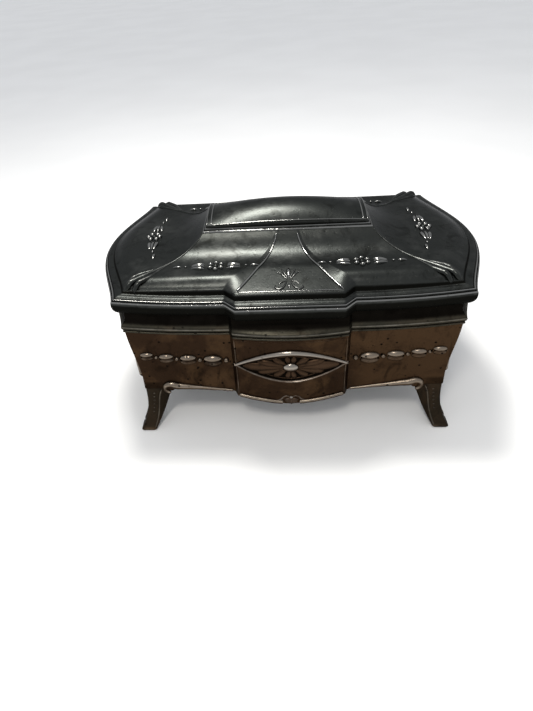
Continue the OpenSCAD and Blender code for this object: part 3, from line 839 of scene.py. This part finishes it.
def bead_chain(shape, face, start, s, count=8, lift=0.0):
    """Two-lobed ovals and small beads by turns, closing up and shrinking towards the corner."""
    a, pitch = start, BEAD_PITCH
    for k in range(count):
        fade = pitch / BEAD_PITCH
        b = BEAD_ROW_Z + lift * (k / count) ** 1.5
        if k % 2:
            upper, lower = np.multiply(OVAL_LOBES, fade)
            # The upper lobe is painted lighter than the lower: a painted highlight above painted shade.
            face.bead(shape, s * a, b + 1.2 * MM, upper, point=0.6, sink=0.05, polish_and_light=0.9)
            face.bead(shape, s * a, b - 2.1 * fade * MM, lower, point=0.6, sink=0.05, polish_and_light=0.5)
            for side in (-1, 1):
                collar = s * (a + side * 5.6 * fade * MM)
                face.bead(shape, collar, b, (1.1, 3.2 * fade, 1.3 * fade), sink=0.05, polish_and_light=0.4)
        else:
            face.bead(shape, s * a, b, np.multiply(SMALL_BEAD, fade), sink=0.05, polish_and_light=0.7)
        a, pitch = a + pitch, pitch * BEAD_CLOSING


def along(count, values):
    """The values spread evenly over a longer row."""
    return np.interp(np.linspace(0, 1, count), np.linspace(0, 1, len(values)), values)


def lower_edge_roll(shape, face, xs, radii, low, curl=()):
    """The rounded moulding that stands on a lower edge, its radius changing along it."""
    path = [(x, float(low(x)) + r * 0.9) for x, r in zip(xs, radii)]
    path += [(x, z) for x, z, r in curl]
    radii = list(radii) + [r for x, z, r in curl]
    face.rib(shape, path, along(110, radii), sink=0.0, polish_and_light=0.85, n=110, taper=(1, 1))


# The end of the front's lower moulding, curled over on the leg: x, height over the leg and radius, all in
# millimetres
LEG_CURL = [(68.2, 2.7, 2.35), (70.4, 3.1, 2.45), (72.4, 2.2, 2.3), (73.3, 0.2, 2.0), (72.9, -1.7, 1.7),
            (71.6, -3.1, 1.3), (70.3, -3.3, 0.9)]


CHAIN_START = 35.6 * MM  # middle of the bead beside the pointed oval
ROLL_END = 66 * MM  # where the lower moulding reaches the leg and begins to curl
END_ROLL = 43 * MM


def front_relief(shape):
    """The front's chains of beads, its lower moulding and the raised edges of its breakfront."""
    face = Face(front_face)
    for s in (-1, 1):
        bead_chain(shape, face, CHAIN_START, s, lift=5.0 * MM)
        flank = np.linspace(BODY_PLAN.outer + 0.8 * MM, ROLL_END, 14)
        radii = np.interp(flank, [0.04, 0.056, 0.066], [0.8, 1.4, 2.2]) * MM
        curl = [(s * x * MM, LEG_TOP + z * MM, r * MM) for x, z, r in LEG_CURL]
        lower_edge_roll(shape, face, s * flank, radii, apron_z, curl)
        face.bead(shape, s * 70.0 * MM, LEG_TOP + 0.2 * MM, (4.4, 4.4, 0.8), sink=0.0, polish_and_light=0.0)
        heights = np.linspace(APRON_Z + 5 * MM, WALL_TOP - 1 * MM, 9)
        edge = [(s * (BODY_PLAN.inner - 0.6 * MM), z) for z in heights]
        face.rib(shape, edge, 0.55 * MM, n=40, polish_and_light=0.55)
        middle = np.linspace(4.5 * MM, BODY_PLAN.inner - 0.8 * MM, 10)
        lower_edge_roll(shape, face, s * middle, np.full(10, 1.3 * MM), apron_z)
    top = [(a * (BODY_PLAN.inner - 0.8 * MM), WALL_TOP - 1.4 * MM) for a in np.linspace(-1, 1, 13)]
    face.rib(shape, top, 0.45 * MM, n=60, polish_and_light=0.4)


def knee(past, z):
    """How far the legs' dark plate runs up the walls; past is the distance beyond the rim corner."""
    near = np.clip((past + 21 * MM) / (5 * MM), 0, 1)
    return 0.5 * near * np.clip((LEG_TOP + 7 * MM - z) / (3 * MM), 0, 1)


def walls():
    front = Shape()
    front.plate(front_grid(0.0), front_grid(BODY_WALL))
    front.wear_and_light -= knee(np.abs(front.verts[:, 0]) - HALF_W, front.verts[:, 2])
    front_relief(front)
    end = Shape()
    end.plate(end_grid(0.0), end_grid(BODY_WALL))
    end.wear_and_light -= knee(np.abs(end.verts[:, 1]) - HALF_D, end.verts[:, 2])
    face = Face(end_face)
    for s in (-1, 1):
        bead_chain(end, face, 0, s, lift=4.0 * MM)
    reach = np.linspace(-END_ROLL, END_ROLL, 23)
    lower_edge_roll(end, face, reach, np.interp(abs(reach), [0, END_ROLL], [1.0, 1.8]) * MM, end_apron_z)
    front.build_pair(("front_wall", "back_wall"), "_casting", BODY_METAL, "body_casting")
    end.build_pair(("right_end_wall", "left_end_wall"), "_casting", BODY_METAL, "body_casting")


# Section of the neck frame from the walls up: inset, height over the walls' top, and wear with painted light,
# the neck under the lid's overhang painted in shade
NECK_SECTION = [
    (3.3, 0, -0.8), (3.0, 0.1, -0.6), (2.65, 0.3, 0.3), (2.45, 0.7, 0.45), (2.5, 1.05, 0.3),
    (2.85, 1.3, -0.6), (3.1, 1.55, -1), (2.9, 1.85, -0.8), (2.4, 2.2, -0.3), (2.1, 2.7, 0.1),
    (1.95, 3.3, 0.4), (1.95, 3.8, 0.7), (2.1, 4.3, 0.4), (2.5, 4.9, 0), (3.0, 5.5, -0.4), (3.5, 6.3, -0.7),
    (4.0, 7.4, -0.9), (4.3, 8.4, -0.9), (4.4, 9.4, -0.8), (4.4, 12.6, -0.8), (4.55, 12.85, 0.2),
    (7.25, 12.85, 0.2), (7.4, 12.6, 0), (7.4, 0, 0)]


def neck():
    shape = Shape()
    rows, wear_and_light = [], []
    for inset, height, polish_and_light in NECK_SECTION:
        bow = BODY_BOW * np.interp(height, [4, 9.4], [1, 0])
        plan = INNER_PLAN if inset > 7 else NECK_PLAN._replace(bow=bow)
        rows.append(outline(inset * MM, WALL_TOP + height * MM, plan))
        wear_and_light.append(polish_and_light)
    shape.skin(rows, np.array(wear_and_light), closed=True)
    shape.build("neck_moulding", "neck_frame", NECK_METAL, "base", "neck_casting")


# The daisy's petals: how far along the oval each tip lies, and its width in millimetres
PETALS = [(1.0, 5.8), (0.68, 4.3), (0.36, 3.9), (0.08, 3.4)]
PETAL_REACH = 26.5 * MM
PETAL_HEIGHT = 1.4
BOSS = (8.4, 6.2, 2.1)


def oval_edge(a):
    """Half height of the pointed oval at share a of its half length."""
    return OVAL_Y * (1 - abs(a) ** 1.8)


def cartouches():
    """Pointed ovals: a rolled rim, thicker above, a sunk field and an oblong daisy."""
    shape = Shape()

    def point(a, b):
        y = front_y(0, wall_inset(b), BODY_PLAN) + BODY_BOW * (a / BODY_PLAN.inner) ** 2
        return np.array([a, y - 0.35 * MM, b])

    face = Face(point)
    stations = np.linspace(-1, 1, 45)
    rows = []
    for v in np.linspace(-1, 1, 13):
        reach = [v * max(oval_edge(a) - 0.4 * MM, 0.05 * MM) for a in stations]
        rows.append([point(a * OVAL_X, OVAL_Z + r) for a, r in zip(stations, reach)])
    shape.skin(rows, -0.8)
    low = [[p + (0, 0.3 * MM, 0) for p in row] for row in rows]
    shape.skin(low, -0.8, flip=True)
    for side, radius, polish_and_light in ((1, 1.7, 1.0), (-1, 0.95, 0.6)):
        rim = [(a * (OVAL_X - 1.2 * MM), OVAL_Z + side * (oval_edge(a) - 1.0 * MM))
               for a in np.linspace(-1, 1, 33)]
        face.rib(shape, rim, radius * MM, 1.5 * MM, n=90, sink=0, polish_and_light=polish_and_light, taper=(0.55, 0.55))
        line = [(a * (OVAL_X - 5 * MM), OVAL_Z + side * max(oval_edge(a) - 3.2 * MM, 0))
                for a in np.linspace(-0.92, 0.92, 27)]
        face.rib(shape, line, 0.32 * MM, n=70, sink=0, polish_and_light=0.3, taper=(0.6, 0.6))
    for across, width in PETALS:
        for side_x in (-1, 1):
            for side_z in ((-1, 1) if across < 1 else (0,)):
                tip_x = side_x * across * PETAL_REACH
                tip_z = side_z * (oval_edge(tip_x / OVAL_X) - 3.4 * MM)
                tip = np.array([tip_x, tip_z])
                root = unit(tip) * (2.4 + 1.4 * across) * MM
                mid = (tip + root) / 2
                size = (np.linalg.norm(tip - root) / MM, width, PETAL_HEIGHT)
                turn = math.atan2(tip[1], tip[0])
                face.bead(shape, mid[0], OVAL_Z + mid[1], size, turn, point=0.6, fat=0.35, sink=0.1, polish_and_light=0.3)
    face.bead(shape, 0, OVAL_Z, BOSS, sink=0)
    shape.build_pair(("front_cartouche", "back_cartouche"), "_relief", ORNAMENT_METAL, "ornament")


def apron_shells():
    """Small fans of lobes between two curls, at the middle of the lower edges."""
    shape = Shape()
    face = Face(lambda a, b: front_face(a, b) + (0, -0.1 * MM, 0))
    hub = APRON_Z + 4.6 * MM
    for k in range(7):
        turn = -math.pi / 2 + (k - 3) * 0.4
        length = 5.0 - 0.25 * abs(k - 3)
        across, up = length / 2 * MM * math.cos(turn), hub + length / 2 * MM * math.sin(turn)
        face.bead(shape, across, up, (length, 1.7, 1.2), turn, point=0.6, fat=0.45, polish_and_light=0.45)
    face.bead(shape, 0, hub + 0.4 * MM, (2.2, 1.8, 1.3))
    for side in (-1, 1):
        curl = [(0.8, 5.2), (2.4, 6.0), (4.2, 5.4), (5.6, 3.6), (8.2, 2.4), (11.5, 2.0)]
        path = [(side * a * MM, APRON_Z + b * MM) for a, b in curl]
        face.rib(shape, path, 0.65 * MM, taper=(0.6, 0.4), polish_and_light=0.55)
    shape.build_pair(("front_apron_shell", "back_apron_shell"), "_relief", ORNAMENT_METAL, "ornament")


def leg_section(inset, w, z, t=LEG_THICK, bevel=0.0):
    """Angle section at a corner, blunt outside, slanted inside and hollow behind; t is its thickness."""
    x, y = HALF_W - inset[0], HALF_D - inset[1]
    c = 1.6 * MM
    arc = [(x - c + c * math.sin(v), -(y - c + c * math.cos(v))) for v in np.linspace(0, math.pi / 2, 6)]
    lip = 0.8 * MM
    slant = bevel * 0.55
    front = [(x - w - bevel, -y + t), (x - w - slant, -y + t / 2), (x - w, -y + 0.5 * MM), (x - w + lip, -y)]
    side = [(x, -y + w - lip), (x - 0.5 * MM, -y + w), (x - t / 2, -y + w + slant), (x - t, -y + w + bevel)]
    back = [(x - t - 0.6 * MM, -y + t + 1.4 * MM), (x - t - 1.4 * MM, -y + t + 0.6 * MM)]
    return np.array([(a, b, z) for a, b in front + arc + side + back])


def leg_level(t):
    """Insets, width, height, thickness and slant of a leg at share t of its height."""
    swing = (1 - t) ** FLARE_POWER
    inset = (WAIST_IN - FOOT_END_FLARE * swing, WAIST_IN - FOOT_FLARE * swing)
    width = LEG_W + LEG_SPREAD * t**5 + LEG_TOE * (1 - t) ** 3
    return inset, width, t * (LEG_TOP - GAP), LEG_THICK + LEG_THICKENING * t * t, LEG_SLANT * t**1.1


def leg_front(a, z):
    """Point of a leg's front face, a to the right of its middle, at height z."""
    inset, width = leg_level(float(np.clip(z / LEG_TOP, 0, 1)))[:2]
    return np.array([HALF_W - inset[0] - width / 2 + a, -(HALF_D - inset[1]), z])


def leg_side(a, z):
    """The same for its end face, a behind its middle."""
    inset, width = leg_level(float(np.clip(z / LEG_TOP, 0, 1)))[:2]
    return np.array([HALF_W - inset[0], -(HALF_D - inset[1] - width / 2) + a, z])


TOE_SHARE = 0.86  # size of the foot where it stands, as a share of its size above its rounded edge
TOE_EDGE = 0.7 * MM
LEG_EDGE_IN = 1.1 * MM  # inset of the mouldings down a leg's edges
LEG_BEADS = [LEG_TOP - (4 + 2.7 * k) * MM for k in range(6)]


def legs():
    shape = Shape()
    rows = [leg_section(*leg_level(t)) for t in np.linspace(0, 1, 26)]
    foot = rows[0].mean(axis=0)
    toe = foot + (rows[0] - foot) * (TOE_SHARE, TOE_SHARE, 1)
    toe[:, 2] = 0
    rows[0][:, 2] = TOE_EDGE
    rows.insert(0, toe)
    lug_in = WAIST_IN + BODY_WALL + GAP
    lug_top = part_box("front_right_leg")[1][2]
    rows += [leg_section((lug_in, lug_in), LEG_W, z) for z in (LEG_TOP - 0.1 * MM, lug_top)]
    wear_and_light = np.interp(np.arange(len(rows)), [0, 3, 8, len(rows)], [0.5, 0.4, 0, 0])
    shape.skin(rows, wear_and_light, closed=True)
    shape.cap(rows[0], 0.2, flip=True)
    shape.cap(rows[-1], 0)
    levels = [leg_level(t) for t in np.linspace(0.04, 0.97, 30)]
    front = np.array([(HALF_W - i[0] - w + LEG_EDGE_IN, -(HALF_D - i[1]), z) for i, w, z, _, _ in levels])
    side = np.array([(HALF_W - i[0], -(HALF_D - i[1] - w + LEG_EDGE_IN), z) for i, w, z, _, _ in levels])
    sweep(shape, front, np.tile((0.0, -1.0, 0.0), (30, 1)), 0.75 * MM, sink=0.1, polish_and_light=0.8)
    sweep(shape, side, np.tile((1.0, 0.0, 0.0), (30, 1)), 0.75 * MM, sink=0.1, polish_and_light=0.6)
    for face in (Face(leg_front), Face(leg_side)):
        for height in LEG_BEADS:
            face.bead(shape, 0, height, (1.3, 1.2, 0.5), sink=0.1, polish_and_light=0.6)
    for node in ("front_right_leg", "front_left_leg", "back_right_leg", "back_left_leg"):
        corner = shape.copy((-1 if "left" in node else 1, -1 if "back" in node else 1, 1))
        corner.build(node + "_casting", node, LEG_METAL, "base", "leg_casting")


# ---------------------------------------------------------------- linings
def lining_inset(z):
    return np.maximum(NECK_IN + NECK_WALL, wall_inset(z) + BODY_WALL) + 0.6 * MM


FRONT_CHANNELS = 14
END_CHANNELS = 10
PAD_EDGE = 0.6 * MM  # thickness of the wall padding at its bound edges
PAD_SWELL = 1.95 * MM  # and how much more it has between them


def padded_wall(node, end):
    """Satin panel that swells between its bound edges, with soft upright channels."""
    low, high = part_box(node)[0][2], PART_Z - 1.6 * MM
    shape = Shape()
    inner, outer = [], []
    for t in np.linspace(0, 1, 25):
        z = low + (high - low) * t
        inset = lining_inset(z)
        line = end_row(inset, 0) if end else front_row(inset, 0, INNER_PLAN)
        line = softened_open(line, 3)
        lift = rise(HALF_W - inset) if end else rise(line[:, 0])
        line[:, 2] = z + t * lift
        way = distances(line)
        channels = np.abs(np.sin(np.pi * way / way[-1] * (END_CHANNELS if end else FRONT_CHANNELS)))
        swell = channels**0.5 * np.sin(np.pi * t) ** 0.35
        pad = PAD_EDGE + PAD_SWELL * swell
        step = np.gradient(line[:, :2], axis=0)
        normal = unit(np.column_stack([-step[:, 1], step[:, 0]]))
        inner.append(line + np.column_stack([normal * pad[:, None], 0 * pad]))
        outer.append(line)
    shape.plate(outer, inner)
    return shape


def softened_open(row, passes):
    for _ in range(passes):
        row = np.vstack([row[:1], row[1:-1] / 2 + (row[:-2] + row[2:]) / 4, row[-1:]])
    return row


def linings():
    for nodes in (("lining_front", "lining_back"), ("lining_right", "lining_left")):
        shape = padded_wall(nodes[0], nodes[0] == "lining_right")
        for piece in shape.build_pair(nodes, "_satin", SATIN, "satin_lining", 60):
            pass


def taken_down(obj):
    """Vertices and faces of an object with its modifiers applied; the object itself is removed."""
    done = obj.evaluated_get(bpy.context.evaluated_depsgraph_get())
    mesh = done.to_mesh()
    verts = np.empty(3 * len(mesh.vertices))
    mesh.vertices.foreach_get("co", verts)
    faces = [tuple(p.vertices) for p in mesh.polygons]
    done.to_mesh_clear()
    bpy.data.objects.remove(obj)
    return verts.reshape(-1, 3), faces


def modified(verts, faces, kind, **settings):
    obj = placed("pad", new_mesh("pad", verts.tolist(), faces))
    modifier = obj.modifiers.new(kind, kind)
    for key, value in settings.items():
        setattr(modifier, key, value)
    return taken_down(obj)


def filled(verts, faces, held, reach):
    """The pad blown up as cloth between the points that hold it, no point moving further than reach."""
    obj = placed("pad", new_mesh("pad", verts.tolist(), faces))
    obj.vertex_groups.new(name="held").add(np.flatnonzero(held).tolist(), 1.0, "REPLACE")
    cloth = obj.modifiers.new("cloth", "CLOTH")
    for key, value in PAD_CLOTH.items():
        setattr(cloth.settings, key, value)
    cloth.settings.effector_weights.gravity = 0
    cloth.point_cache.frame_end = PAD_FRAMES
    for k in range(PAD_FRAMES):
        bpy.context.scene.frame_set(k + 1)
    settled, faces = taken_down(obj)
    bpy.context.scene.frame_set(1)
    moved = settled - verts
    far = np.linalg.norm(moved, axis=1, keepdims=True)
    return verts + moved * np.tanh(far / reach) * reach / np.maximum(far, 1e-9), faces


PAD_VOXEL = 2 * MM
PAD_SHRINK = 2.3 * MM  # what remeshing and smoothing take off a cushion all round
PAD_CLOTH = {
    "vertex_group_mass": "held", "quality": 6, "mass": 0.1, "tension_stiffness": 6,
    "compression_stiffness": 4, "bending_stiffness": 0.05, "use_pressure": True,
    "uniform_pressure_force": 4.0}
PAD_FRAMES = 20
PAD_REACH = 0.34  # furthest that filling moves a point, as a share of the cushion's thickness
HELD_SHARE = 0.45  # share of the thickness that is glued down
HELD_NEAR = 1.8 * MM  # distance from a button within which the satin is held
# Section of a cushion before it is filled: inset from its widest in millimetres, share of its thickness
PAD_SECTION = [(1.2, 0.0), (0.2, 0.16), (0.0, 0.34), (0.4, 0.5), (1.6, 0.62)]
PAD_SECTION += [(3 + 44 * k / 14, 0.66 + 0.1 * (1 - math.exp(-44 * k / 14 / 9))) for k in range(15)]
BUTTONS = [(x * MM, y * MM) for y in (-22, 22) for x in (-60, -20, 20, 60)]


def button_dent(points):
    """Share of a cushion's thickness by which its buttons draw it in."""
    dent = np.zeros(len(points))
    for x, y in BUTTONS:
        away = np.hypot(points[:, 0] - x, points[:, 1] - y)
        dent += 0.3 * np.exp(-(away / (5 * MM)) ** 2) + 0.08 * np.exp(-(away / (14 * MM)) ** 2)
    return dent


def plumped(shape, base, lift):
    """The cushion remeshed and filled as cloth; lift is its thickness, below 0 where it hangs."""
    verts, faces = modified(shape.verts, shape.faces, "REMESH", mode="VOXEL", voxel_size=PAD_VOXEL)
    verts, faces = modified(verts, faces, "SMOOTH", factor=0.5, iterations=4)
    near = np.min([np.hypot(verts[:, 0] - x, verts[:, 1] - y) for x, y in BUTTONS], axis=0)
    held = ((verts[:, 2] - base) / lift < HELD_SHARE) | (near < HELD_NEAR)
    verts, faces = filled(verts, faces, held, PAD_REACH * abs(lift))
    made = Shape()
    made.add(*modified(verts, faces, "SUBSURF", levels=1), 0.0)
    return made


def cushion(node, body, down):
    """A satin cushion with a rolled edge, buttoned in two rows and filled as cloth."""
    low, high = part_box(node)
    thick = high[2] - low[2]
    inset = HALF_W + END_BOW - high[0] - PAD_SHRINK
    base = high[2] if down else low[2]
    grow = -1 if down else 1
    shape = Shape()
    rows = []
    for depth, share in PAD_SECTION:
        row = flat_outline(inset + depth * MM, 0, INNER_PLAN)
        height = share - (button_dent(row) if share > 0.6 else 0)
        row[:, 2] = base + grow * height * thick
        rows.append(row)
    shape.skin(rows, 0.0, closed=True, flip=down)
    shape.cap(rows[0], 0, flip=not down)
    middle_fill(shape, rows[-1], down)
    shape = plumped(shape, base, grow * thick)
    for x, y in BUTTONS:
        away = np.hypot(shape.verts[:, 0] - x, shape.verts[:, 1] - y)
        level = np.max(grow * shape.verts[away < 2 * MM, 2]) * grow
        face = Face(lambda a, b: np.array([x + a, y + grow * b, level]))
        face.bead(shape, 0, 0, (3.6, 3.6, 0.8), sink=0.3)
    piece = shape.build(node + "_satin", node, SATIN, body, "satin_cushion", 70)


def middle_fill(shape, row, down):
    """Closes the middle of a cushion: strips across from front to back, and a fan at each bowed end."""
    n = len(row) // 2
    last = len(FRONT_Q) - 1
    front = row[: last + 1]
    back = row[n: n + last + 1][::-1]
    strips = [front + (back - front) * t for t in np.linspace(0, 1, 5)]
    shape.skin(strips, 0.0, flip=down)
    for k in (0, n):
        end = np.roll(row, -(k + last), axis=0)[: n - last + 1]
        fan = [(i, i + 1, len(end)) for i in range(len(end) - 1)]
        shape.add(np.vstack([end, (end[0] + end[-1]) / 2]), [f[::-1] if down else f for f in fan], 0.0)


# ---------------------------------------------------------------- carried-over nodes
def dress(node, material):
    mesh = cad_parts[node].data
    mesh.materials.clear()
    mesh.materials.append(material)


lid()
walls()
neck()
cartouches()
apron_shells()
legs()
linings()
cushion("floor_cushion", "base", False)
cushion("lid_cushion", "lid", True)
for hand in ("left", "right"):
    dress(hand + "_hinge_base_leaf", HINGE_METAL)
    dress(hand + "_hinge_lid_leaf", HINGE_METAL)
    dress(hand + "_hinge_pin", PIN_METAL)
dress("bottom_plate", SHEET_METAL)
dress("lid_lining_board", CARD)


# ---------------------------------------------------------------- floor, light and camera
FLOOR_REACH = 12.0


def floor():
    corners = [(x * FLOOR_REACH, y * FLOOR_REACH, 0) for x, y in ((-1, -1), (1, -1), (1, 1), (-1, 1))]
    mesh = new_mesh("floor", corners, [(0, 1, 2, 3)])
    mesh.materials.append(floor_paper())
    placed("floor", mesh)


def area_light(name, place, target, size, power, colour=(1, 1, 1)):
    data = bpy.data.lights.new(name, "AREA")
    data.shape = "RECTANGLE"
    data.size, data.size_y = size
    data.energy = power
    data.color = colour
    obj = placed(name, data)
    obj.location = place
    obj.rotation_mode = "QUATERNION"
    obj.rotation_quaternion = (Vector(target) - Vector(place)).to_track_quat("-Z", "Y")


def studio():
    world = bpy.data.worlds.new("studio")
    bpy.context.scene.world = world
    world.use_nodes = True
    back = world.node_tree.nodes["Background"]
    back.inputs["Color"].default_value = (0.94, 0.96, 1.0, 1.0)
    back.inputs["Strength"].default_value = 0.8
    middle = (0, 0, RIM_Z)
    area_light("overhead", (-0.07, 0.1, 0.62), middle, (0.15, 0.13), 3.4, (1.0, 0.98, 0.94))
    area_light("front_key", (-0.12, -0.5, 0.78), middle, (0.14, 0.14), 2.2, (1.0, 0.96, 0.9))


CAMERA_ANGLES = (5.4, 33.6, -4.7)  # degrees turned to the right, tilted down and rolled
CAMERA_BACK = 318.4 * MM
CAMERA_LEFT = 28.9 * MM
CAMERA_DOWN = 31.4 * MM
CAMERA_LENS = 27.04
CAMERA_SHIFT = (0.0401, -0.078)


def camera():
    """In front and above, close enough for strong convergence."""
    turn, tilt, roll = (math.radians(a) for a in CAMERA_ANGLES)
    back = Vector((math.sin(turn) * math.cos(tilt), -math.cos(turn) * math.cos(tilt), math.sin(tilt)))
    level_right = (-back).cross(Vector((0, 0, 1))).normalized()
    level_up = level_right.cross(-back)
    right = level_right * math.cos(roll) + level_up * math.sin(roll)
    up = level_up * math.cos(roll) - level_right * math.sin(roll)
    place = Vector((0, 0, RIM_Z)) + back * CAMERA_BACK - right * CAMERA_LEFT - up * CAMERA_DOWN
    data = bpy.data.cameras.new("camera")
    data.sensor_width = 36
    data.lens = CAMERA_LENS
    data.shift_x, data.shift_y = CAMERA_SHIFT
    data.clip_start = 0.01
    obj = placed("camera", data)
    obj.matrix_world = Matrix.Translation(place) @ Matrix((right, up, back)).transposed().to_4x4()
    bpy.context.scene.camera = obj


floor()
studio()
camera()
scene_view = bpy.context.scene.view_settings
scene_view.view_transform = "Standard"
bpy.context.view_layer.update()
